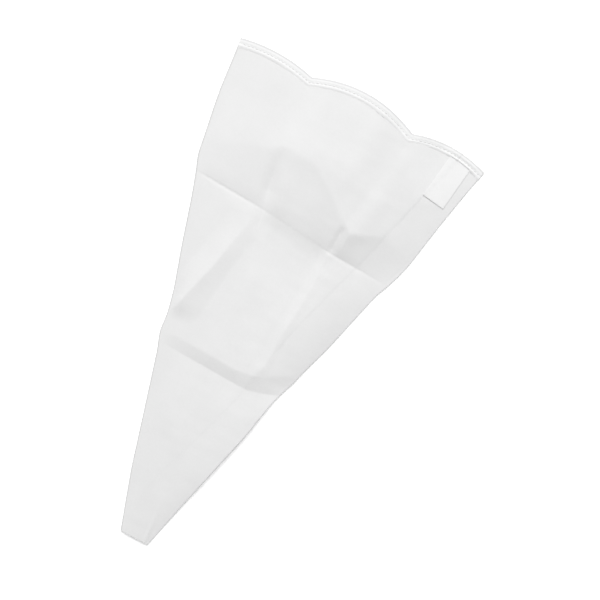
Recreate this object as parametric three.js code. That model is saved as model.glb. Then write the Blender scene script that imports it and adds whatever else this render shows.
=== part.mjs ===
// A reusable coated-cloth piping bag, lying flat as it is stored.
//
// A long cone of cloth: cut open at the tip, hemmed at the mouth, with a tape loop to hang it
// up by. Two soft creases across it, left by folding it in three, divide it into a tip section,
// a middle section and a mouth section, and each crease is a hinge between two sections.
//
// Axes: X across the bag, Y from the tip to the mouth, Z up from the table. Lengths along the
// bag are counted from the cut tip, and the whole bag is centred on the origin at the end.

import * as THREE from 'three';
import { mergeVertices } from 'three/addons/utils/BufferGeometryUtils.js';

// ---- Driving dimensions, in millimetres ----

const LENGTH = 401;            // cut tip to the corners of the mouth
const MOUTH_WIDTH = 229;       // flat width at the mouth
const TIP_WIDTH = 25.4;        // flat width of the cut tip
const CLOTH = 0.6;             // coated cloth
const GAP = 0.3;               // left between pieces that touch
const PUFF = 7.6;              // table to the top of the upper layer
const SIDE_HEIGHT = 2.4;       // table to the top of the upper layer along the side folds
const FLANK = 14;              // width of the slope beside each side fold
const FLANK_SHARE = 0.42;      // and at most this share of the half-width
const FLANK_CLEAR = 1;         // strips on the flat end this far from a flank
const SIDE_BOW = 2.5;          // how far the bag lies bowed towards -X
// The creases run across the bag at a slight slant: their place on the centre line, counted from
// the cut tip, and how far they climb for each millimetre towards +X.
const TIP_CREASE = { y: 153, slope: -0.04 };
const MOUTH_CREASE = { y: 285.6, slope: -0.0565 };
const CREASE_SLIT = 0.8;       // opening between two sections, where the cloth bends
const HEM = 8.5;               // height of the hem folded out round the mouth
const HEM_CLOTH = 0.5;
const HEM_ROUND = 0.25;        // bevel along the hem's fold
const SEAM_FROM_SIDE = 31;     // seam's edge, from the right-hand side fold
const SEAM_OVERLAP = 12;       // how far the two sheets overlap at the seam
const SEAM_BELOW_HEM = 8;      // the overlap ends this far below the hem
const THREAD = 0.4;
const THREAD_DIP = 0.15;       // how far the thread dips between two stitches
const STITCH = 4;              // length of one stitch
const TAPE_WIDTH = 20;
const TAPE_LENGTH = 35;        // from TAPE_AT to the folded end
const TAPE_CLOTH = 0.8;
const TAPE_BULGE = 2;          // between the middles of the two leaves at the folded end
const TAPE_AT = { x: 92.9, y: 395.1, tilt: -7.2 };
const TAPE_BELOW_HEM = 1.2;    // from TAPE_AT down to the tape's sewn edge
const TACK_UP = 1.4;           // from TAPE_AT up to the bar tack
const TACK_WIDTH = 16;
const TACK_STITCH = 1;         // width of one of its stitches
const TACK_HEIGHT = 0.8;

// ---- Materials ----

const CLOTH_COLOUR = 0xe9e9e8;
const SEAM_COLOUR = 0xe0e0df;
const HEM_COLOUR = 0xf1f1f0;
const TAPE_COLOUR = 0xf4f4f3;
const THREAD_COLOUR = 0xdededc;

function cloth(color, roughness = 0.62) {
  return new THREE.MeshStandardMaterial({ color, roughness, metalness: 0 });
}

// ---- The bag's outline ----

// Half of the flat width: a long taper with straight sides, wider than a plain cone above the
// upper crease, where the sides turn in again towards the mouth.
const HALF_WIDTHS = [
  { y: 0, half: TIP_WIDTH / 2 },
  { y: 160, half: 56.5 },
  { y: 300, half: 97 },
  { y: LENGTH, half: MOUTH_WIDTH / 2 },
];

function halfWidth(y) {
  const last = HALF_WIDTHS.length - 2;
  let i = 0;
  while (i < last && y > HALF_WIDTHS[i + 1].y) i += 1;
  const below = HALF_WIDTHS[i];
  const above = HALF_WIDTHS[i + 1];
  const t = THREE.MathUtils.clamp((y - below.y) / (above.y - below.y), 0, 1);
  return THREE.MathUtils.lerp(below.half, above.half, t);
}

function bow(y) {
  return -SIDE_BOW * Math.sin(Math.PI * THREE.MathUtils.clamp(y / LENGTH, 0, 1));
}

const leftSide = (y) => bow(y) - halfWidth(y);
const rightSide = (y) => bow(y) + halfWidth(y);
const flank = (y) => Math.min(FLANK, FLANK_SHARE * halfWidth(y));

// The mouth's edge is three shallow arcs, which meet where the lengthwise creases end.
const MOUTH_ARCS = [
  { from: [-MOUTH_WIDTH / 2, 403.5], to: [-47.3, 401.5], rise: 3.9 },
  { from: [-47.3, 401.5], to: [47.3, 398.8], rise: 10.7 },
  { from: [47.3, 398.8], to: [MOUTH_WIDTH / 2, 398.5], rise: 5.6 },
];

function mouthEdge(x) {
  const arc = MOUTH_ARCS.find((each) => x <= each.to[0]) ?? MOUTH_ARCS[MOUTH_ARCS.length - 1];
  const t = THREE.MathUtils.clamp((x - arc.from[0]) / (arc.to[0] - arc.from[0]), 0, 1);
  return THREE.MathUtils.lerp(arc.from[1], arc.to[1], t) + 4 * arc.rise * t * (1 - t);
}

// Top of the upper layer: flat, and sloping down over each flank to the side fold.
function upperTop(x, y) {
  const inward = Math.min(x - leftSide(y), rightSide(y) - x);
  const t = THREE.MathUtils.clamp(inward / flank(y), 0, 1);
  return THREE.MathUtils.lerp(SIDE_HEIGHT, PUFF, t);
}

// The lower layer lies on the table, and rises near the mouth to make room for its own hem.
const RISE = { start: LENGTH - 30, length: 18 };

function lowerBottom(y) {
  const t = THREE.MathUtils.clamp((y - RISE.start) / RISE.length, 0, 1);
  return t * (HEM_CLOTH + GAP);
}

// ---- Cloth solids ----

const ROWS = 4;                    // along each section
const PLAIN_COLUMNS = 4;           // across a section with straight ends
const MOUTH_COLUMNS = 26;          // across the mouth section, to follow its arcs
const FOLD_END = HEM_CLOTH + GAP;  // a layer stops this far inside the hem's fold

// A closed slab of cloth. place(u, v, top) gives the point for a place across (u, 0 to 1), along
// (v, 0 to 1) and on the slab's top or bottom face.
function slab(columns, rows, place) {
  const box = new THREE.BoxGeometry(1, 1, 1, columns, rows, 1);
  box.deleteAttribute('normal');
  box.deleteAttribute('uv');
  const solid = mergeVertices(box);
  const points = solid.getAttribute('position');
  for (let i = 0; i < points.count; i += 1) {
    const point = place(points.getX(i) + 0.5, points.getY(i) + 0.5, points.getZ(i) > 0);
    points.setXYZ(i, point.x, point.y, point.z);
  }
  solid.computeVertexNormals();
  return solid;
}

// X of a column: the first and last columns are the flanks, the others share the flat between.
function columnX(u, columns, y) {
  const index = Math.round(u * columns);
  if (index === 0) return leftSide(y);
  if (index === columns) return rightSide(y);
  const inner = (index - 1) / (columns - 2);
  return THREE.MathUtils.lerp(leftSide(y) + flank(y), rightSide(y) - flank(y), inner);
}

// The ends of the sections. Each gives Y on a line across the bag, for a place X on that line,
// and near, a length at which the line crosses the bag.
const cutTip = { near: 0, y: () => 0 };
const mouthEnd = { near: LENGTH, y: (x) => mouthEdge(x) - FOLD_END };

function creaseEdge(crease, side) {
  return { near: crease.y, y: (x) => crease.y + crease.slope * x + (side * CREASE_SLIT) / 2 };
}

// One section of a layer, from one line across the bag to another.
function layer(columns, from, to, heights) {
  return slab(columns, ROWS, (u, v, top) => {
    const start = from.y(columnX(u, columns, from.near));
    const end = to.y(columnX(u, columns, to.near));
    const y = THREE.MathUtils.lerp(start, end, v);
    const x = columnX(u, columns, y);
    return { x, y, z: heights(x, y, top) };
  });
}

const upperHeights = (x, y, top) => upperTop(x, y) - (top ? 0 : CLOTH);
const lowerHeights = (x, y, top) => lowerBottom(y) + (top ? CLOTH : 0);

function sections(heights) {
  return {
    tip: layer(PLAIN_COLUMNS, cutTip, creaseEdge(TIP_CREASE, -1), heights),
    middle: layer(PLAIN_COLUMNS, creaseEdge(TIP_CREASE, 1), creaseEdge(MOUTH_CREASE, -1), heights),
    mouth: layer(MOUTH_COLUMNS, creaseEdge(MOUTH_CREASE, 1), mouthEnd, heights),
  };
}

// The seam's overlap: a second thickness of cloth inside the upper layer. It runs beside the
// right-hand side fold, and near the tip it keeps clear of the left-hand flank.
const LEAST_OVERLAP = SEAM_OVERLAP / 2;

function seamOverlap(from, to) {
  const across = (u, y) => {
    const edge = rightSide(y) - SEAM_FROM_SIDE;
    const inner = Math.max(edge - SEAM_OVERLAP, leftSide(y) + flank(y) + FLANK_CLEAR);
    return THREE.MathUtils.lerp(inner, Math.max(edge, inner + LEAST_OVERLAP), u);
  };
  return slab(1, ROWS, (u, v, top) => {
    const start = from.y(across(u, from.near));
    const end = to.y(across(u, to.near));
    const y = THREE.MathUtils.lerp(start, end, v);
    return { x: across(u, y), y, z: PUFF - CLOTH - GAP - (top ? 0 : HEM_CLOTH) };
  });
}

// The hem: cloth that turns over the mouth's edge and lies on the outside of the layer. up is
// 1 for the upper layer, whose outside faces up, and -1 for the lower one.
function hem(up) {
  const path = [
    { back: 0, out: -CLOTH },
    { back: 0, out: GAP },
    { back: HEM_ROUND, out: GAP + HEM_ROUND + HEM_CLOTH / 4 },
    { back: HEM, out: GAP + HEM_CLOTH },
  ];
  const inside = [
    { back: HEM_CLOTH, out: -CLOTH },
    { back: HEM_CLOTH, out: 0 },
    { back: HEM_CLOTH + GAP, out: GAP },
    { back: HEM, out: GAP },
  ];
  return slab(MOUTH_COLUMNS, path.length - 1, (u, v, top) => {
    const x = columnX(u, MOUTH_COLUMNS, LENGTH);
    const edge = mouthEdge(x);
    const inner = up > 0 ? top : !top;
    const step = (inner ? inside : path)[Math.round(v * (path.length - 1))];
    const face = up > 0 ? upperTop(x, LENGTH) : lowerBottom(LENGTH);
    return { x, y: edge - step.back, z: face + up * step.out };
  });
}

// One row of stitches along the middle of the hem, as a thread that dips between stitches.
function hemStitches(base) {
  const steps = 2 * Math.round((MOUTH_WIDTH - 2 * FLANK) / STITCH);
  const left = leftSide(LENGTH) + FLANK + FLANK_CLEAR;
  const right = rightSide(LENGTH) - FLANK - FLANK_CLEAR;
  return slab(steps, 1, (u, v, top) => {
    const x = THREE.MathUtils.lerp(left, right, u);
    const dip = Math.round(u * steps) % 2 === 0 ? 0 : THREAD_DIP;
    const y = mouthEdge(x) - HEM / 2 + (v - 0.5) * THREAD;
    return { x, y, z: base + dip + (top ? THREAD : 0) };
  });
}

// ---- The hanging loop ----

// Tape folded in half: out along the lower leaf, round the folded end and back along the upper.
function loopTape() {
  const sewn = -TAPE_BELOW_HEM;
  const radius = TAPE_BULGE / 2;
  const bend = -TAPE_LENGTH + radius + TAPE_CLOTH / 2;
  const leafTop = TAPE_CLOTH + GAP;
  const middle = [
    new THREE.Vector2(sewn, 0),
    new THREE.Vector2(bend / 2, 0),
    new THREE.Vector2(bend, 0),
  ];
  const turns = 6;
  for (let i = 1; i < turns; i += 1) {
    const angle = (Math.PI * i) / turns;
    middle.push(new THREE.Vector2(
      bend - radius * Math.sin(angle),
      radius - radius * Math.cos(angle),
    ));
  }
  middle.push(
    new THREE.Vector2(bend, TAPE_BULGE),
    new THREE.Vector2(bend / 2, (TAPE_BULGE + leafTop) / 2),
    new THREE.Vector2(sewn, leafTop),
  );
  const rows = middle.length - 1;
  return slab(1, rows, (u, v, top) => {
    const i = Math.round(v * rows);
    const along = middle[Math.min(i + 1, rows)].clone().sub(middle[Math.max(i - 1, 0)]).normalize();
    const across = new THREE.Vector2(-along.y, along.x).multiplyScalar(TAPE_CLOTH / 2);
    const point = middle[i].clone().addScaledVector(across, top ? -1 : 1);
    return { x: (0.5 - u) * TAPE_WIDTH, y: point.x, z: point.y + TAPE_CLOTH / 2 };
  });
}

// Close stitches over the hem that hold the tape's ends down.
function barTack() {
  const steps = Math.round(TACK_WIDTH / TACK_STITCH);
  return slab(steps, 1, (u, v, top) => {
    const dip = Math.round(u * steps) % 2 === 0 ? 0 : THREAD_DIP;
    const x = (u - 0.5) * TACK_WIDTH;
    return { x, y: (v - 0.5) * TACK_HEIGHT, z: dip + (top ? THREAD : 0) };
  });
}

// ---- Assembly ----

function piece(parent, name, geometry, material) {
  const mesh = new THREE.Mesh(geometry, material);
  mesh.name = name;
  parent.add(mesh);
  return mesh;
}

const bag = new THREE.Group();

const upper = sections(upperHeights);
const lower = sections(lowerHeights);
for (const name of ['tip', 'middle', 'mouth']) {
  piece(bag, `${name}_front`, upper[name], cloth(CLOTH_COLOUR));
  piece(bag, `${name}_back`, lower[name], cloth(CLOTH_COLOUR));
}

const belowHem = { near: LENGTH - HEM, y: () => LENGTH - HEM - SEAM_BELOW_HEM };
const overlaps = {
  tip: seamOverlap(cutTip, creaseEdge(TIP_CREASE, -1)),
  middle: seamOverlap(creaseEdge(TIP_CREASE, 1), creaseEdge(MOUTH_CREASE, -1)),
  mouth: seamOverlap(creaseEdge(MOUTH_CREASE, 1), belowHem),
};
for (const [name, solid] of Object.entries(overlaps)) {
  piece(bag, `${name}_seam_overlap`, solid, cloth(SEAM_COLOUR));
}

piece(bag, 'hem_front', hem(1), cloth(HEM_COLOUR));
piece(bag, 'hem_back', hem(-1), cloth(HEM_COLOUR));
const hemTop = PUFF + GAP + HEM_CLOTH;
const insideMouth = lowerBottom(LENGTH) + CLOTH;
piece(bag, 'hem_stitching_front', hemStitches(hemTop + GAP), cloth(THREAD_COLOUR, 0.5));
piece(bag, 'hem_stitching_back', hemStitches(insideMouth + GAP), cloth(THREAD_COLOUR, 0.5));

const tilt = THREE.MathUtils.degToRad(TAPE_AT.tilt);
const loopPlace = new THREE.Group();
loopPlace.position.set(TAPE_AT.x, TAPE_AT.y, PUFF + GAP);
loopPlace.rotation.z = tilt;
bag.add(loopPlace);
piece(loopPlace, 'hanging_loop', loopTape(), cloth(TAPE_COLOUR, 0.7));

const tackPlace = new THREE.Group();
tackPlace.position.set(TAPE_AT.x, TAPE_AT.y + TACK_UP, hemTop + GAP);
tackPlace.rotation.z = tilt;
bag.add(tackPlace);
piece(tackPlace, 'loop_bar_tack', barTack(), cloth(THREAD_COLOUR, 0.5));

// Centre the footprint on the origin. The table is already at Z = 0.
const middleOfBag = new THREE.Box3().setFromObject(bag).getCenter(new THREE.Vector3());
bag.position.set(-middleOfBag.x, -middleOfBag.y, 0);
bag.updateMatrixWorld(true);

export default bag;
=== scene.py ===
"""A cloth piping bag lying flat on a pale floor, seen from straight above.

The bag is a lofted tube of thin cloth, laid flat: an upper layer with soft creases, a lower layer
on the table, and a rounded fold down each side. It is in two pieces that meet halfway along the
middle section. The hem, the stitches, the seam's overlap and the hanging loop are pieces of their
own.

Shapes are worked out in millimetres in the bag's own measures: x across the bag, s along it from
the cut tip, and z up from the table.
"""

import math

import bpy
import numpy as np
from mathutils import Matrix, Vector

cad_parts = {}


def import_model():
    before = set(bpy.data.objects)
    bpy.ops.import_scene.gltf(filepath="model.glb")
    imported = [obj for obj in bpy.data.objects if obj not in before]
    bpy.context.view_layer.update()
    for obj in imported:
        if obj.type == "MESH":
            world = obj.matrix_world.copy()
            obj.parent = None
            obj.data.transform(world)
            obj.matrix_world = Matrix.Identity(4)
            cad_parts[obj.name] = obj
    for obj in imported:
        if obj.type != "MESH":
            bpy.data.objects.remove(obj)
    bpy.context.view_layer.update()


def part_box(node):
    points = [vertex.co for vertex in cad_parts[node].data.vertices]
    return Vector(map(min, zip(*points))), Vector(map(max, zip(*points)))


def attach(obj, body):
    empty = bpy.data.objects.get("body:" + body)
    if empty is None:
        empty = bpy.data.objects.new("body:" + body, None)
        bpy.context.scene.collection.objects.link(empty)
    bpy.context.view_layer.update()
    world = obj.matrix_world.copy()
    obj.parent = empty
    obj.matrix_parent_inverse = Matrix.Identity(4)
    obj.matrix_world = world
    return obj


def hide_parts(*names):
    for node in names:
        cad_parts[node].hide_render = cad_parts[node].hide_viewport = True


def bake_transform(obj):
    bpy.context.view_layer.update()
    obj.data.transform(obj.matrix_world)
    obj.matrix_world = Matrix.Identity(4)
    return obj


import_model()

MM = 0.001
TIP_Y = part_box("tip_front")[0].y / MM          # the cut tip's place in the frame


def world(x, s, z):
    """Points of the bag's own measures, as rows of metres in the frame."""
    return np.stack(np.broadcast_arrays(x, np.asarray(s) + TIP_Y, z), -1) * MM


def frame_point(x, s, z):
    return Vector((x, s + TIP_Y, z)) * MM


# ---- Lines and profiles ----

RUN_ON = 40                    # a line through points runs straight on past its ends


def smoothstep(t):
    t = np.clip(t, 0, 1)
    return t * t * (3 - 2 * t)


def through(points, soften=5.0):
    """A line through given points, with its corners rounded over about `soften` mm."""
    at, value = np.array(points, float).T
    fine = np.arange(at[0] - RUN_ON, at[-1] + RUN_ON + 1, 1.0)
    inside = np.clip(fine, at[0], at[-1])
    first = (value[1] - value[0]) / (at[1] - at[0])
    last = (value[-1] - value[-2]) / (at[-1] - at[-2])
    line = np.interp(inside, at, value)
    line += np.where(fine < at[0], (fine - at[0]) * first, 0)
    line += np.where(fine > at[-1], (fine - at[-1]) * last, 0)
    reach = np.arange(-3 * soften, 3 * soften + 1)
    weight = np.exp(-((reach / soften) ** 2) / 2)
    rounded = np.convolve(line, weight / weight.sum(), "same")
    return lambda t: np.interp(t, fine, rounded)


def crest(distance, before, after, power):
    """1 on a line, falling to 0 at `before` on its low side and `after` on its high side."""
    reach = np.where(distance < 0, before, after)
    return np.clip(1 - np.abs(distance) / reach, 0, 1) ** power


def between(t, start, end, soft):
    """1 between start and end, fading to 0 over `soft` outside them."""
    return smoothstep((t - start) / soft + 1) * smoothstep((end - t) / soft + 1)


# ---- The bag's outline and creases ----

# The sides, from the cut tip to the mouth: (s, x).
left_side = through([
    (0, -13.0), (49, -29), (98, -42.5), (131, -51.5), (148, -56.3), (160, -61), (178, -62.7),
    (196, -67.0), (229, -77.5), (262, -88.2), (284, -95.8), (298, -101.2), (327, -105.3),
    (360, -110.3), (402, -114.5)], 3)
right_side = through([
    (0, 12.3), (49, 24.6), (98, 37.3), (119, 42.9), (132, 45.4), (147, 48.9), (156, 52.4),
    (165, 56.2), (196, 64.2), (229, 72.8), (262, 80.2), (274, 83.0), (281, 85.9), (297, 92.0),
    (311, 96), (344, 102.5), (377, 109.3), (400, 114.0)], 3)

# The lapped seam's edge, from near the cut tip's left corner to the hem: (s, x).
seam_line = through([
    (0, -9.0), (28, -12.0), (47, -9.5), (139, 21), (198, 32.5), (231, 41.8), (285, 58),
    (359, 79.1), (398, 90)], 12)

# The creases across the bag: (x, s).
mouth_crease = through([(-95, 290.6), (-33.4, 287.8), (32.7, 281.4), (87.3, 279.4)])
tip_crease = through([(-60, 152.4), (23.4, 150.0), (36, 153.0), (52, 159)], 3)
MOUTH_CREASE = 285.6
TIP_CREASE = 153.0

# The creases along the bag: (s, x).
left_ridge = through([(166, -60), (176, -61.5), (224, -47.8), (281, -36), (290, -36)])
right_ridge = through([(151, 23), (178, 30.5), (190, 28.5), (250, 33.4), (283, 32.5)])
left_mouth_crease = through([(288, -33), (326, -41), (345, -42), (401, -47.3)])
right_mouth_crease = through([(282, 32.2), (303, 32.6), (398, 47.3)])

# The bag's highest line, from the tip to the mouth: (s, x).
highest_line = through([(0, 2), (120, 8), (178, 30), (250, 34), (300, 45), (400, 54)], 12)

# The dent's upper edge starts here and runs square to this direction.
DENT_FROM = (38.0, 302.0)
DENT_ACROSS = (0.484, -0.875)
DENT_DEPTH = 0.1

CORNER_S = 401.0               # the mouth's corners
MOUTH_ARCS = [                 # from (x, s), to (x, s), rise
    ((-114.5, 404.2), (-47.3, 402.3), 4.1),
    ((-47.3, 402.3), (47.3, 399.6), 10.4),
    ((47.3, 399.6), (114.5, 399.2), 5.9),
]


def mouth_edge(x):
    """The hem's top edge: three shallow arcs, with a notch where each lengthwise crease ends."""
    x = np.clip(x, MOUTH_ARCS[0][0][0], MOUTH_ARCS[-1][1][0])
    edge = np.zeros_like(np.asarray(x, float))
    for (x0, s0), (x1, s1), rise in MOUTH_ARCS:
        t = (x - x0) / (x1 - x0)
        arc = s0 + (s1 - s0) * t + 4 * rise * t * (1 - t)
        edge = np.where((t >= 0) & (t <= 1), arc, edge)
    return edge


# ---- The cloth's heights over the table ----

SIDE_TOP = 1.5                 # top of the upper layer at a side fold
SIDE_TURN = 0.45               # how far a side fold's curve reaches inward
SEAM_FADE = 15                 # how far in from the seam's edge its rise fades out
TIP_REACH = 22                 # how far below the lower crease its dip reaches
RIPPLE_SEED = 11


def ripples(x, s, shortest, longest, count, seed):
    """Gentle irregular waves of about unit height, the same at every run."""
    random = np.random.default_rng(seed)
    total = np.zeros(np.broadcast(x, s).shape)
    for _ in range(count):
        length = random.uniform(shortest, longest)
        turn = random.uniform(0, math.pi)
        phase = random.uniform(0, 2 * math.pi)
        total += np.sin((x * math.cos(turn) + s * math.sin(turn)) * 2 * math.pi / length + phase)
    return total / math.sqrt(count)


def fall(distance, reach, power):
    """0 at a line, rising to 1 at `reach` from it; steepest at the line."""
    return 1 - np.clip(1 - distance / reach, 0, 1) ** power


def across_rise(x, s):
    """0 at the side folds, 1 along the bag's highest line, which runs right of the middle."""
    peak = highest_line(s)
    from_left = (x - left_side(s)) / (peak - left_side(s))
    from_right = (right_side(s) - x) / (right_side(s) - peak)
    left = 0.4 * smoothstep(from_left) + 0.6 * fall(from_left, 1, 1.35)
    right = fall(from_right, 1, 1.45)
    # The tip section is flatter across.
    tip_share = 1 - smoothstep((s - 100) / 45)
    left = left + (fall(from_left, 1, 2.6) - left) * tip_share
    stands = 0.92 * smoothstep((s - 10) / 60) * (1 - smoothstep((s - 146) / 22))
    return left * (right + (1 - right) * stands)


def along_height(x, s):
    """The upper layer's level along the bag: three terraces that step down at the creases."""
    reach_up = np.interp(x, [-100, -86, -55, -38, -14, 10, 30, 40, 52, 66, 90],
                         [27, 32, 45, 54, 56, 42, 28, 22, 27, 34, 28])
    reach_down = np.interp(x, [-50, -34, 40, 70], [11, 20, 20, 40])
    line = np.interp(x, [-60, -44, -34, -20, 20, 34, 48, 60],
                     [2.2, 2.6, 3.6, 4, 3.9, 3.4, 3.3, 2.6])
    below = np.interp(x, [-70, -40, -20, 20, 34, 60], [3.9, 3.8, 3.5, 3.4, 3.7, 5.4])
    mouth = np.interp(s, [280, 340, 402], [9.6, 9.6, 8.2])
    mouth = mouth - np.interp(x, [0, 30, 60, 100], [0, 1.0, 2.6, 3.6])
    mouth = mouth + 1.5 * smoothstep((s - 318) / 36) * between(x, -28, 14, 24)
    mouth = mouth - 1.8 * smoothstep((s - 350) / 50) * smoothstep((x - 40) / 35)
    middle_fall = np.interp(s, [163, 275], [1.3, 0])
    away = s - mouth_crease(x)
    upper_step = np.where(away > 0, line + (mouth - line) * fall(away, reach_up, 1.1),
                          line + (below - line) * fall(-away, reach_down, 1.5))
    middle_level = upper_step + middle_fall

    away = s - tip_crease(x)
    band = np.interp(x, [-60, 10, 28, 50], [10.5, 10.5, 13.5, 18])
    tip_line = np.interp(x, [-40, -20, 0, 20, 36, 50], [1.8, 2.2, 2.8, 3.2, 3.1, 2.6])
    tip = np.interp(s, [0, 40, 100, 145], [2.4, 2.9, 3.4, 3.1])
    crown = np.interp(s, [10, 95, 150], [0, 1.7, 0.5])
    tip = tip + crown * smoothstep((x - 2) / 26)
    return np.where(away > 0, tip_line + (middle_level - tip_line) * fall(away, band, 1.1),
                    tip_line + (tip - tip_line) * fall(-away, TIP_REACH, 1.5))


def crease_step(x, s):
    """The upper crease's own kink: steeper just above it, and just below it in the middle."""
    away = s - mouth_crease(x)
    above = np.interp(x, [-90, -60, -20, 0, 20, 50], [0.4, 0.5, 0.75, 0.5, 0.2, 0.05])
    below = np.interp(x, [-45, -25, 25, 40], [0, 0.8, 0.8, 0])
    groove = np.interp(x, [-70, -30, -20, 15, 30, 60], [0.16, 0.08, 0.02, 0.02, 0.1, 0.06])
    step = above * fall(away, 12, 2) * (1 - smoothstep((away - 20) / 60))
    step = step - below * fall(-away, 14, 2) * (1 - smoothstep((-away - 20) / 70))
    return step - groove * crest(away, 2.4, 1.4, 1.0)


def upper_height(x, s):
    """Top of the upper layer."""
    # Lengthwise folds: ridges in the middle section, shallow valleys in the mouth section.
    ridge_height = np.interp(s, [174, 190, 215, 240, 262, 285], [0.8, 2.1, 2.1, 1.5, 0.95, 0.3])
    ridge_reach = np.clip(left_ridge(s) - left_side(s), 8, 18)
    ridge_far_reach = np.interp(s, [185, 230], [21, 13])
    left_fold = ridge_height * crest(x - left_ridge(s), ridge_reach, ridge_far_reach, 1.15)
    left_fold = left_fold * between(s, 186, 280, 14)
    ridge = 0.5 * crest(x - right_ridge(s), 8, 6, 1.2) * between(s, 174, 278, 14)
    deepest = np.interp(s, [264, 286, 304, 312, 342], [0, 0.5, 1, 0.9, 0])
    valley = 4.4 * crest(x - left_mouth_crease(s), 8, 12, 1.2) * deepest
    valley += 0.8 * crest(x - right_mouth_crease(s), 4, 7, 1.2) * between(s, 286, 300, 8)
    valley += 1.1 * crest(x - left_mouth_crease(s), 20, 20, 1.4) * smoothstep((s - 356) / 44)
    valley += 0.4 * crest(x - right_mouth_crease(s), 22, 18, 1.4) * smoothstep((s - 346) / 50)
    valley += 0.2 * crest(x - right_mouth_crease(s), 8, 8, 1.3) * between(s, 308, 350, 20)

    # A slight dent above the upper crease, on the right.
    into = (x - DENT_FROM[0]) * DENT_ACROSS[0] + (s - DENT_FROM[1]) * DENT_ACROSS[1]
    beside = -(x - DENT_FROM[0]) * DENT_ACROSS[1] + (s - DENT_FROM[1]) * DENT_ACROSS[0]
    dent = smoothstep(into / 10) * (1 - smoothstep((into - 10) / 12)) * between(beside, 3, 22, 7)
    valley += DENT_DEPTH * dent

    # The seam: the cut edge that lies on top stands over the cloth it is sewn to.
    edge_rise = np.interp(s, [0, 150, 290, 400], [0.06, 0.08, 0.16, 0.24])
    lap = edge_rise * (1 - smoothstep((seam_line(s) - x) / SEAM_FADE))
    lap = np.where(x < seam_line(s), lap, 0)
    nozzle_fold = 0.9 * crest(x - np.interp(s, [0, 34], [9.2, 6]), 3, 3, 1.2)
    nozzle_fold = nozzle_fold * (1 - smoothstep(s / 36))
    lifted_side = 0.25 * np.exp(-(((x - 41) / 7) ** 2) - ((s - 132) / 15) ** 2)
    puckers = 0.10 * ripples(x, 0 * s, 5, 11, 9, RIPPLE_SEED) * np.exp(-(mouth_edge(x) - s) / 11)
    waves = 0.18 * ripples(x, s, 30, 80, 12, RIPPLE_SEED + 1)
    waves += 0.035 * ripples(x, s, 8, 20, 14, RIPPLE_SEED + 2)
    body = along_height(x, s) - SIDE_TOP - valley + ridge + waves + puckers
    rise = across_rise(x, s)
    kinks = (left_fold + crease_step(x, s)) * np.minimum(rise * 12, 1)
    return (SIDE_TOP + rise * (body + nozzle_fold + lifted_side) + kinks
            + lap * np.minimum(rise * 3, 1))


def lower_height(x, s):
    """Underside of the lower layer, on the table except where a fold or the hem lifts it."""
    near_fold = crest(s - mouth_crease(x), 9, 9, 1.4) + crest(s - tip_crease(x), 8, 8, 1.4)
    waves = 0.12 * (1 + ripples(x, s, 30, 80, 8, RIPPLE_SEED + 3))
    hem = 0.7 * smoothstep((s - mouth_edge(x) + 26) / 16)
    return 0.04 + np.maximum(waves, 0) + 0.7 * near_fold + hem


# ---- The tube ----

LEFT_COLUMNS = 132             # upper layer, left of the seam's edge
RIGHT_COLUMNS = 38             # upper layer, right of it
LOWER_COLUMNS = 90
FOLD_ANGLES = np.radians([40, 90, 140])
SEAM_STEP = 0.45               # half the width of the step down at the seam's edge
BACK_INSET = 1.6               # how much shorter the lower layer is at the mouth
MIDDLE_JOIN = 220.0            # where the two pieces meet
SLANT_REACH = 62               # rows slant with a crease up to this far from it
ARCS_FROM = 345                # rows start to follow the mouth's arcs here


def row_place(s, x):
    """A row's true place: rows follow the creases and, near the mouth, its scalloped edge."""
    def bump(t):
        return np.clip(1 - t * t, 0, 1) ** 2
    place = s + (mouth_crease(x) - MOUTH_CREASE) * bump((s - MOUTH_CREASE) / SLANT_REACH)
    place = place + (tip_crease(x) - TIP_CREASE) * bump((s - TIP_CREASE) / SLANT_REACH)
    follow = smoothstep((s - ARCS_FROM) / (CORNER_S - ARCS_FROM))
    return place + follow * (mouth_edge(x) - CORNER_S)


def loop_points(s):
    """One row of the tube, at length s: x, s, z for each column round the bag."""
    left, right, seam = left_side(s) + SIDE_TURN, right_side(s) - SIDE_TURN, seam_line(s)
    seam = np.clip(seam, left + 2.5, right - 4)
    x_upper = np.concatenate([
        np.linspace(left, seam - SEAM_STEP, LEFT_COLUMNS),
        np.linspace(seam + SEAM_STEP, right, RIGHT_COLUMNS)])
    x_lower = np.linspace(right, left, LOWER_COLUMNS)
    s_upper, s_lower = row_place(s, x_upper), row_place(s, x_lower)
    shorter = BACK_INSET * smoothstep((s - 360) / 40)
    from_side = np.minimum(x_lower - left, right - x_lower)
    s_lower = s_lower - shorter * smoothstep(from_side / 12)
    z_upper, z_lower = upper_height(x_upper, s_upper), lower_height(x_lower, s_lower)

    def side(way, edge, z_from, z_to, s_from):
        middle, half = (z_from + z_to) / 2, (z_from - z_to) / 2
        x = edge + way * SIDE_TURN * np.sin(FOLD_ANGLES)
        return x, np.full(len(FOLD_ANGLES), s_from), middle + half * np.cos(FOLD_ANGLES)

    x_r, s_r, z_r = side(1, right, z_upper[-1], z_lower[0], s_upper[-1])
    x_l, s_l, z_l = side(-1, left, z_lower[-1], z_upper[0], s_upper[0])
    x = np.concatenate([x_upper, x_r, x_lower, x_l])
    place = np.concatenate([s_upper, s_r, s_lower, s_l])
    z = np.concatenate([z_upper, z_r, z_lower, z_l])
    return np.stack([x, place, z], -1)


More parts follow.
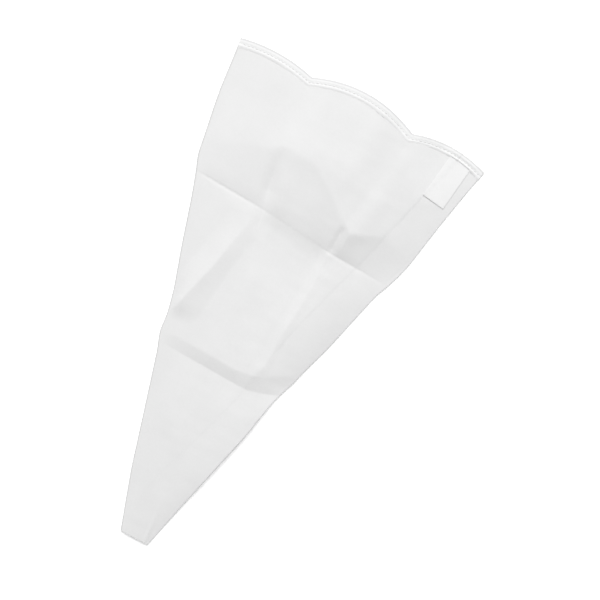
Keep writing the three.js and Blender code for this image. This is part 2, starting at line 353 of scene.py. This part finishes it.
def row_stations(start, end):
    """Rows along the bag, close together at the creases, the tip and the mouth."""
    fine_step = 0.05
    fine = np.arange(start, end + 0.01, fine_step)
    near = np.minimum(np.abs(fine - MOUTH_CREASE), np.abs(fine - TIP_CREASE))
    near = np.minimum(near, np.minimum(fine, CORNER_S - fine) * 1.5)
    step = np.interp(near, [0, 12, 30], [0.7, 1.0, 2.0])
    count = np.cumsum(fine_step / step)
    rows = int(round(count[-1]))
    return np.interp(np.linspace(count[0], count[-1], rows + 1), count, fine)


UV_UNIT = 100.0                # millimetres of cloth in one unit of UV
OBJECT_UNIT = 1000.0           # millimetres in one unit of object coordinates


def mesh_object(name, points, faces, material):
    mesh = bpy.data.meshes.new(name)
    mesh.from_pydata([tuple(p) for p in points], [], [tuple(f) for f in faces])
    mesh.polygons.foreach_set("use_smooth", [True] * len(mesh.polygons))
    mesh.materials.append(material)
    mesh.update()
    made = bpy.data.objects.new(name, mesh)
    bpy.context.scene.collection.objects.link(made)
    return made


def grid_faces(rows, columns, closed):
    """Quads of a grid of points, row by row. closed joins the last column to the first."""
    faces = []
    for r in range(rows - 1):
        for c in range(columns if closed else columns - 1):
            d = (c + 1) % columns
            faces.append((r * columns + c, r * columns + d,
                          (r + 1) * columns + d, (r + 1) * columns + c))
    return faces


def set_uv(made, u, v):
    """One UV per point, from millimetres of cloth, so that a weave stays on it as it bends."""
    layer = made.data.uv_layers.new(name="cloth")
    index = np.zeros(len(made.data.loops), int)
    made.data.loops.foreach_get("vertex_index", index)
    uv = np.stack([np.ravel(u)[index], np.ravel(v)[index]], -1) / UV_UNIT
    layer.data.foreach_set("uv", uv.astype(np.float32).ravel())


def set_painted_edge_shade(made, shade_amount):
    """Marks how far each point lies on a pressed edge, where painted shade darkens the cloth's
    colour.
    """
    marks = made.data.attributes.new("painted_edge_shade", "FLOAT", "POINT")
    marks.data.foreach_set("value", np.ravel(shade_amount).astype(np.float32))


def thicken(made, thickness, offset=-1):
    """Gives a sheet its thickness, inward or half each way (offset 0), with crisp cut edges."""
    mesh = made.data
    faces_at = np.zeros(len(mesh.edges), int)
    edge_of_corner = np.zeros(len(mesh.loops), int)
    mesh.loops.foreach_get("edge_index", edge_of_corner)
    np.add.at(faces_at, edge_of_corner, 1)
    for edge in np.flatnonzero(faces_at == 1):
        mesh.edges[edge].use_edge_sharp = True
    solid = made.modifiers.new("thickness", "SOLIDIFY")
    solid.thickness = thickness * MM
    solid.offset = offset
    solid.use_even_offset = False
    return made


CLOTH_THICK = 0.45
LOWER_WEAVE_SHIFT = 300.0      # keeps the lower layer's weave apart from the upper layer's


def bag_piece(name, start, end, material):
    rows = row_stations(start, end)
    loops = np.array([loop_points(s) for s in rows])
    columns = loops.shape[1]
    # Faces run so that the normals point out of the tube.
    faces = grid_faces(len(rows), columns, True)
    made = mesh_object(name, world(*loops.reshape(-1, 3).T), faces, material)
    set_uv(made, loops[..., 0] + LOWER_WEAVE_SHIFT * (loops[..., 2] < SIDE_TOP), loops[..., 1])
    inward = loops[..., 0] - left_side(rows)[:, None]
    # Painted shade along the left side's pressed fold: in full at the side, and not beyond 1.2 mm
    # from it.
    set_painted_edge_shade(made, np.clip(1.3 - inward / 0.9, 0, 1))
    return thicken(made, CLOTH_THICK)


# ---- Materials ----

SHEEN = 0.15
TONE_VARIATION = 0.02          # how much the cloth's tone varies either way
PAINTED_SHADE_DEPTH = 0.2          # how much painted shade darkens the cloth's colour along a pressed edge


def value_node(nodes, kind, **sockets):
    node = nodes.new(kind)
    for name, value in sockets.items():
        node.inputs[name.replace("_", " ")].default_value = value
    return node


def math_node(tree, operation, first, second=None):
    node = tree.nodes.new("ShaderNodeMath")
    node.operation = operation
    for socket, value in zip(node.inputs, (first, second)):
        if value is None:
            continue
        if isinstance(value, (int, float)):
            socket.default_value = value
        else:
            tree.links.new(value, socket)
    return node.outputs[0]


def cloth_material(name, colour, pitch, weave=0.5, roughness=0.7, diagonal=False,
                   coords="UV"):
    """Fine weave of the given pitch (mm), plain or diagonal, faintly uneven in tone; painted
    shade on pressed edges.
    """
    material = bpy.data.materials.new(name)
    material.use_nodes = True
    tree = material.node_tree
    nodes, links = tree.nodes, tree.links
    shader = nodes["Principled BSDF"]
    shader.inputs["Roughness"].default_value = roughness
    shader.inputs["Sheen Weight"].default_value = SHEEN
    shader.inputs["Sheen Roughness"].default_value = 0.4
    shader.inputs["Specular IOR Level"].default_value = 0.3
    place = nodes.new("ShaderNodeTexCoord").outputs[coords]
    per_unit = UV_UNIT if coords == "UV" else OBJECT_UNIT
    split = nodes.new("ShaderNodeSeparateXYZ")
    links.new(place, split.inputs[0])
    turn = 2 * math.pi * per_unit / pitch
    across = math_node(tree, "MULTIPLY", split.outputs["X"], turn)
    along = math_node(tree, "MULTIPLY", split.outputs["Y"], turn)
    if diagonal:
        lean = math_node(tree, "ADD", across, along)
        threads = math_node(tree, "MULTIPLY", math_node(tree, "SINE", lean),
                            math_node(tree, "SINE", math_node(tree, "MULTIPLY", along, 0.5)))
    else:
        threads = math_node(tree, "MULTIPLY", math_node(tree, "SINE", across),
                            math_node(tree, "SINE", along))
    fibres = value_node(nodes, "ShaderNodeTexNoise", Scale=per_unit / 0.5, Detail=2.0)
    links.new(place, fibres.inputs["Vector"])
    relief = math_node(tree, "ADD", math_node(tree, "MULTIPLY", threads, 0.5 * weave),
                       math_node(tree, "MULTIPLY", fibres.outputs[0], 0.6 * weave))
    bump = value_node(nodes, "ShaderNodeBump", Strength=0.6, Distance=0.00006)
    links.new(relief, bump.inputs["Height"])
    links.new(bump.outputs[0], shader.inputs["Normal"])
    clouds = value_node(nodes, "ShaderNodeTexNoise", Scale=per_unit / 26, Detail=4.0,
                        Roughness=0.6)
    links.new(place, clouds.inputs["Vector"])
    slubs = value_node(nodes, "ShaderNodeTexNoise", Scale=per_unit / 2.2, Detail=1.0)
    links.new(place, slubs.inputs["Vector"])
    tone = math_node(tree, "ADD", math_node(tree, "MULTIPLY", clouds.outputs[0], 0.7),
                     math_node(tree, "MULTIPLY", slubs.outputs[0], 0.3))
    ramp = nodes.new("ShaderNodeValToRGB")
    ramp.color_ramp.elements[0].position = 0.3
    ramp.color_ramp.elements[1].position = 0.7
    ramp.color_ramp.elements[0].color = (*[c * (1 - TONE_VARIATION) for c in colour], 1)
    ramp.color_ramp.elements[1].color = (*[min(c * (1 + TONE_VARIATION), 1) for c in colour], 1)
    links.new(tone, ramp.inputs[0])
    # Painted shade: the colour is mixed toward black where a point is marked as a pressed edge.
    painted_edge_shade = nodes.new("ShaderNodeAttribute")
    painted_edge_shade.attribute_name = "painted_edge_shade"
    shade = nodes.new("ShaderNodeMix")
    shade.data_type = "RGBA"
    depth = math_node(tree, "MULTIPLY", painted_edge_shade.outputs["Fac"], PAINTED_SHADE_DEPTH)
    links.new(depth, shade.inputs[0])
    links.new(ramp.outputs[0], shade.inputs[6])
    shade.inputs[7].default_value = (0, 0, 0, 1)
    links.new(shade.outputs[2], shader.inputs["Base Color"])
    return material


BAG_WHITE = (0.74, 0.74, 0.74)
bag_cloth = cloth_material("bag_cloth", BAG_WHITE, 0.42)
seam_cloth = cloth_material("seam_cloth", (0.73, 0.73, 0.73), 0.42, roughness=0.6)
hem_cloth = cloth_material("hem_cloth", (0.795, 0.795, 0.795), 0.42)
loop_tape = cloth_material("loop_tape", (0.80, 0.80, 0.80), 0.7, weave=0.9, roughness=0.8,
                           diagonal=True)
thread = cloth_material("thread", (0.76, 0.76, 0.76), 0.5, weave=0.6, roughness=0.55,
                        diagonal=True, coords="Object")


# ---- The bag ----

bag_upper = bag_piece("bag_mouth_half", MIDDLE_JOIN, CORNER_S - 0.6, bag_cloth)
bag_lower = bag_piece("bag_tip_half", 0.0, MIDDLE_JOIN, bag_cloth)


# ---- Hem and stitches ----

HEM_PROFILE = [                # back from the edge, out from the cloth
    (9.0, -0.06), (8.6, 0.03), (7.9, 0.2), (7.2, 0.34), (6.4, 0.4), (5.8, 0.34), (5.2, 0.22),
    (4.8, 0.18), (4.3, 0.22), (3.6, 0.32), (2.8, 0.36), (2.0, 0.3), (1.2, 0.24), (0.5, 0.2),
    (0.05, 0.0), (0.05, -0.35), (0.6, -0.58), (3.6, -0.58), (7.6, -0.6), (8.2, -0.5),
]
HEM_TOP = 0.34                 # profile points this far out rise fully over the tape
HEM_COLUMN_STEP = 1.4          # length of hem between two columns, for its weave
LOOP_AT = (92.9, 396.6)        # x and s of the middle of the tape, at its sewn end
LOOP_TILT = math.radians(-7.2)
TAPE_WIDTH, TAPE_LENGTH, TAPE_THICK = 20.0, 38.8, 0.18
TAPE_FLATNESS = 0.25           # 0 follows the cloth closely, 1 lies straight across


def mouth_ring(back):
    """Points round the mouth, `back` mm from its edge, with the cloth's outward direction."""
    here, behind = loop_points(CORNER_S), loop_points(CORNER_S - 1.0)
    along = here - behind
    along /= np.linalg.norm(along, axis=1)[:, None]
    across = np.roll(here, -1, 0) - np.roll(here, 1, 0)
    outward = np.cross(across, along)
    outward /= np.linalg.norm(outward, axis=1)[:, None]
    return here - along * back, outward


def tape_place(across, along):
    """x and s of a point of the tape, from its middle line and its sewn end."""
    cos, sin = math.cos(LOOP_TILT), math.sin(LOOP_TILT)
    return (LOOP_AT[0] + across * cos - along * sin, LOOP_AT[1] + across * sin + along * cos)


def tape_bed(across, along):
    """Height of the tape's underside: it follows the cloth, but stays flatter across."""
    under = upper_height(*tape_place(across, along)) + 0.05
    left, right = (upper_height(*tape_place(side * TAPE_WIDTH / 2, along)) for side in (-1, 1))
    chord = left + (right - left) * (across / TAPE_WIDTH + 0.5)
    return under + np.maximum(chord + 0.25 - under, 0) * TAPE_FLATNESS


def hem_swell(x, s, z):
    """How much thicker the hem is where the tape's ends lie under it."""
    cos, sin = math.cos(LOOP_TILT), math.sin(LOOP_TILT)
    across = (x - LOOP_AT[0]) * cos + (s - LOOP_AT[1]) * sin
    along = -(x - LOOP_AT[0]) * sin + (s - LOOP_AT[1]) * cos
    inside = np.clip(across, -TAPE_WIDTH / 2, TAPE_WIDTH / 2)
    stands = tape_bed(inside, along) - upper_height(*tape_place(inside, along)) + 2 * TAPE_THICK
    on_top = z > (upper_height(x, s) + lower_height(x, s)) / 2
    return stands * between(across, -TAPE_WIDTH / 2, TAPE_WIDTH / 2, 8) * on_top


def build_hem():
    """A closed band round the mouth, turned over its edge."""
    rings = []
    for back, out in HEM_PROFILE:
        base, outward = mouth_ring(back)
        swell = hem_swell(*base.T) * min(max(out, 0) / HEM_TOP, 1)
        wobble = 1 + 0.06 * ripples(base[:, 0], base[:, 1], 9, 24, 6, RIPPLE_SEED + 5)
        rings.append(base + outward * ((out * wobble + swell)[:, None]))
    rings = np.array(rings)
    columns = rings.shape[1]
    faces = grid_faces(len(rings), columns, True)
    last = (len(rings) - 1) * columns
    faces += [(last + c, last + (c + 1) % columns, (c + 1) % columns, c) for c in range(columns)]
    made = mesh_object("hem_band", world(*rings.reshape(-1, 3).T), faces, hem_cloth)
    girth = np.arange(columns) * HEM_COLUMN_STEP
    back = np.cumsum([0] + [math.dist(a, b) for a, b in zip(HEM_PROFILE, HEM_PROFILE[1:])])
    # The profile's points at the mouth's edge, where the hem is pressed and its colour carries
    # painted shade.
    painted_shade_rows = np.array([float(at < 1.3 and out > -0.4) for at, out in HEM_PROFILE])
    set_painted_edge_shade(made, np.broadcast_to(painted_shade_rows[:, None], rings.shape[:2]))
    set_uv(made, np.broadcast_to(girth, rings.shape[:2]),
           np.broadcast_to(back[:, None], rings.shape[:2]))
    return made


def stitch_points(centre, along, outward, length, radius):
    """A stitch: a short thread that rises out of the cloth and dips back into it."""
    across = np.cross(outward, along)
    rings, sides = 6, 6
    points = []
    for i in range(rings + 1):
        t = i / rings
        lift = radius * (2.2 * math.sin(math.pi * t) - 1.1)
        here = centre + along * ((t - 0.5) * length) + outward * lift
        thin = radius * (0.55 + 0.45 * math.sin(math.pi * t))
        for j in range(sides):
            angle = 2 * math.pi * j / sides
            point = here + across * (thin * math.cos(angle))
            points.append(point + outward * (thin * math.sin(angle)))
    faces = grid_faces(rings + 1, sides, True)
    faces = [tuple(reversed(f)) for f in faces]
    faces.append(tuple(range(sides)))
    faces.append(tuple(reversed(range(rings * sides, (rings + 1) * sides))))
    return points, faces


def stitch_row(name, line, outward, pitch, length, radius):
    """Stitches one after another along a line of points."""
    step = np.linalg.norm(np.diff(line, axis=0), axis=1)
    walked = np.concatenate([[0], np.cumsum(step)])
    count = int(walked[-1] // pitch)
    points, faces = [], []
    for i in range(count):
        at = (i + 0.5) * walked[-1] / count
        here, ahead, behind = (
            np.array([np.interp(at + d, walked, line[:, k]) for k in range(3)])
            for d in (0, 0.6, -0.6))
        up = np.array([np.interp(at, walked, outward[:, k]) for k in range(3)])
        along = (ahead - behind) / np.linalg.norm(ahead - behind)
        up -= along * up.dot(along)
        up /= np.linalg.norm(up)
        new_points, new_faces = stitch_points(here, along, up, length, radius)
        faces += [tuple(len(points) + k for k in f) for f in new_faces]
        points += new_points
    return mesh_object(name, world(*np.array(points).T), faces, thread)


STITCH_PITCH, STITCH_LENGTH, THREAD_RADIUS = 3.4, 2.7, 0.2
STITCH_BACK, STITCH_OUT = 4.8, 0.24        # back from the edge, out from the cloth
TACK_PITCH, TACK_LENGTH = 1.7, 1.5
TACK_BACK, TACK_OUT = 6.9, 0.42
UPPER_COLUMNS = LEFT_COLUMNS + RIGHT_COLUMNS
hem_band = build_hem()
ring, ring_out = mouth_ring(STITCH_BACK)
ring = ring + ring_out * (STITCH_OUT + hem_swell(*ring.T) * 0.6)[:, None]
upper_ring = slice(2, UPPER_COLUMNS - 2)
lower_ring = slice(UPPER_COLUMNS + 5, UPPER_COLUMNS + 1 + LOWER_COLUMNS)
stitches_upper = stitch_row("hem_stitches_upper", ring[upper_ring], ring_out[upper_ring],
                            STITCH_PITCH, STITCH_LENGTH, THREAD_RADIUS)
stitches_lower = stitch_row("hem_stitches_lower", ring[lower_ring], ring_out[lower_ring],
                            STITCH_PITCH, STITCH_LENGTH, THREAD_RADIUS)


# ---- The seam's overlap, inside the upper layer ----

OVERLAP_WIDTH = 12.0
OVERLAP_COLUMNS = 7


def overlap_strip(name, start, end):
    rows = row_stations(start, end)[::2]
    points = []
    for s in rows:
        seam = max(seam_line(s), left_side(s) + 4.5)
        width = min(OVERLAP_WIDTH, (seam - left_side(s)) * 0.6)
        x = np.linspace(seam - width, seam + 0.5, OVERLAP_COLUMNS)
        place = row_place(s, x)
        z = upper_height(x, place) - CLOTH_THICK - 0.08
        points.append(np.stack([x, place, z], -1))
    points = np.array(points)
    faces = grid_faces(len(rows), OVERLAP_COLUMNS, False)
    made = mesh_object(name, world(*points.reshape(-1, 3).T), faces, seam_cloth)
    set_uv(made, points[..., 0], points[..., 1])
    return thicken(made, CLOTH_THICK)


overlap_upper = overlap_strip("seam_overlap_mouth_half", MIDDLE_JOIN, CORNER_S - 4)
overlap_lower = overlap_strip("seam_overlap_tip_half", 1.0, MIDDLE_JOIN)


# ---- The hanging loop ----

def build_loop():
    tucked, sewn_gap, end_gap = 2.0, 0.03, 0.04
    radius = (end_gap + TAPE_THICK) / 2
    # Rows are close together by the sewn end, where the tape bends when it swings.
    fold_start = -(TAPE_LENGTH - radius - TAPE_THICK / 2)
    bend_zone = 8
    straight = np.concatenate([np.arange(tucked, -bend_zone, -0.4),
                               np.linspace(-bend_zone, fold_start, 20)])
    opening = smoothstep((tucked - straight) / (tucked - straight[-1])) * (end_gap - sewn_gap)
    turn = np.radians(np.arange(-72, 73, 18))
    path = [(y, TAPE_THICK / 2) for y in straight]
    middle = TAPE_THICK + end_gap / 2
    path += [(straight[-1] - radius * math.cos(a), middle + radius * math.sin(a)) for a in turn]
    path += [(y, 1.5 * TAPE_THICK + sewn_gap + g) for y, g in zip(straight[::-1], opening[::-1])]
    path = np.array(path)
    columns = np.linspace(-TAPE_WIDTH / 2, TAPE_WIDTH / 2, 15)
    points = []
    for along, up in path:
        x, s = tape_place(columns, along)
        points.append(np.stack([x, s, tape_bed(columns, along) + up], -1))
    points = np.array(points)
    faces = grid_faces(len(path), len(columns), False)
    made = mesh_object("hanging_loop_tape", world(*points.reshape(-1, 3).T), faces, loop_tape)
    walked = np.concatenate([[0], np.cumsum(np.linalg.norm(np.diff(path, axis=0), axis=1))])
    set_uv(made, np.broadcast_to(columns, points.shape[:2]),
           np.broadcast_to(walked[:, None], points.shape[:2]))
    return thicken(made, TAPE_THICK, offset=0)


loop = build_loop()

tack_line, tack_out = mouth_ring(TACK_BACK)
tack_line = tack_line + tack_out * (TACK_OUT + hem_swell(*tack_line.T))[:, None]
tack_reach = TAPE_WIDTH / 2 - 1
on_tape = [i for i in range(UPPER_COLUMNS) if abs(tack_line[i, 0] - LOOP_AT[0]) < tack_reach]
bar_tack = stitch_row("loop_bar_tack_stitches", tack_line[on_tape], tack_out[on_tape],
                      TACK_PITCH, TACK_LENGTH, THREAD_RADIUS)


# ---- What moves with what, and the model's parts that are hidden ----


def bend(made):
    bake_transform(made)


bend(bag_upper)
bend(overlap_upper)
bend(bag_lower)
bend(overlap_lower)
for made in (hem_band, stitches_upper, stitches_lower, bar_tack):
    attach(made, "mouth_section")

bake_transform(loop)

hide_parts("mouth_front", "mouth_back", "middle_front", "middle_back")
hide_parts("tip_front", "tip_back")
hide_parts("mouth_seam_overlap", "middle_seam_overlap")
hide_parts("tip_seam_overlap")
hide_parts("hem_front", "hem_back")
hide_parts("hem_stitching_front")
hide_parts("hem_stitching_back")
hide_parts("hanging_loop")
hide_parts("loop_bar_tack")


def flat_area(start, end):
    """Flat area of both layers between two lengths, in square metres."""
    s = np.linspace(start, end, 60)
    return 2 * np.trapz(right_side(s) - left_side(s), s) * MM * MM


# ---- Camera, light and floor ----

VIEW_WIDTH = 491.3             # millimetres across the view, at the cloth's level
CLOTH_LEVEL = 6                # that level's height over the table
VIEW_CENTRE = (29.1, 236.1)    # x and s at the middle of the view
VIEW_TURN = 27.82              # degrees that the view is turned about the vertical
LENS, SENSOR = 100.0, 36.0
STUDIO_LIGHT = 0.36            # strength of the even light from all round
FLOOR_GLOW = 0.2               # the pale floor's own light


def make_camera():
    data = bpy.data.cameras.new("camera")
    data.lens, data.sensor_width = LENS, SENSOR
    data.clip_start, data.clip_end = 0.01, 20
    made = bpy.data.objects.new("camera", data)
    bpy.context.scene.collection.objects.link(made)
    height = VIEW_WIDTH * LENS / SENSOR + CLOTH_LEVEL
    made.location = frame_point(*VIEW_CENTRE, height)
    made.rotation_euler = (0, 0, math.radians(VIEW_TURN))
    bpy.context.scene.camera = made


def area_light(name, direction, distance, size, watts):
    """A soft square light that looks at the middle of the bag from a direction."""
    data = bpy.data.lights.new(name, "AREA")
    data.size, data.energy = size, watts
    made = bpy.data.objects.new(name, data)
    bpy.context.scene.collection.objects.link(made)
    toward = Vector(direction).normalized()
    target = frame_point(0, 230, 0)
    made.location = target + toward * distance
    made.rotation_euler = toward.to_track_quat("Z", "Y").to_euler()


def picture_direction(right, up, elevation):
    """A direction given as it looks in the picture, raised by an elevation in degrees."""
    turn = Matrix.Rotation(math.radians(VIEW_TURN), 3, "Z")
    flat = (turn @ Vector((right, up, 0))).normalized()
    rise = math.radians(elevation)
    return flat * math.cos(rise) + Vector((0, 0, math.sin(rise)))


def make_floor():
    material = bpy.data.materials.new("floor_white")
    material.use_nodes = True
    shader = material.node_tree.nodes["Principled BSDF"]
    shader.inputs["Base Color"].default_value = (0.98, 0.98, 0.98, 1)
    shader.inputs["Roughness"].default_value = 0.9
    shader.inputs["Specular IOR Level"].default_value = 0.1
    shader.inputs["Emission Color"].default_value = (1, 1, 1, 1)
    shader.inputs["Emission Strength"].default_value = FLOOR_GLOW
    mesh = bpy.data.meshes.new("floor")
    side = 3.0
    corners = [(-side, -side, 0), (side, -side, 0), (side, side, 0), (-side, side, 0)]
    mesh.from_pydata(corners, [], [(0, 1, 2, 3)])
    mesh.materials.append(material)
    made = bpy.data.objects.new("floor", mesh)
    bpy.context.scene.collection.objects.link(made)


make_camera()
make_floor()
area_light("key", picture_direction(0.1, 1, 41), distance=4.6, size=4.2, watts=272)
area_light("fill", picture_direction(0.4, -0.5, 65), distance=3.0, size=2.4, watts=9.8)
world_light = bpy.data.worlds.new("studio")
world_light.use_nodes = True
background = world_light.node_tree.nodes["Background"]
background.inputs["Color"].default_value = (1, 1, 1, 1)
background.inputs["Strength"].default_value = STUDIO_LIGHT
bpy.context.scene.world = world_light
bpy.context.scene.view_settings.view_transform = "Standard"

flat_area(MIDDLE_JOIN, CORNER_S)
flat_area(0, MIDDLE_JOIN)
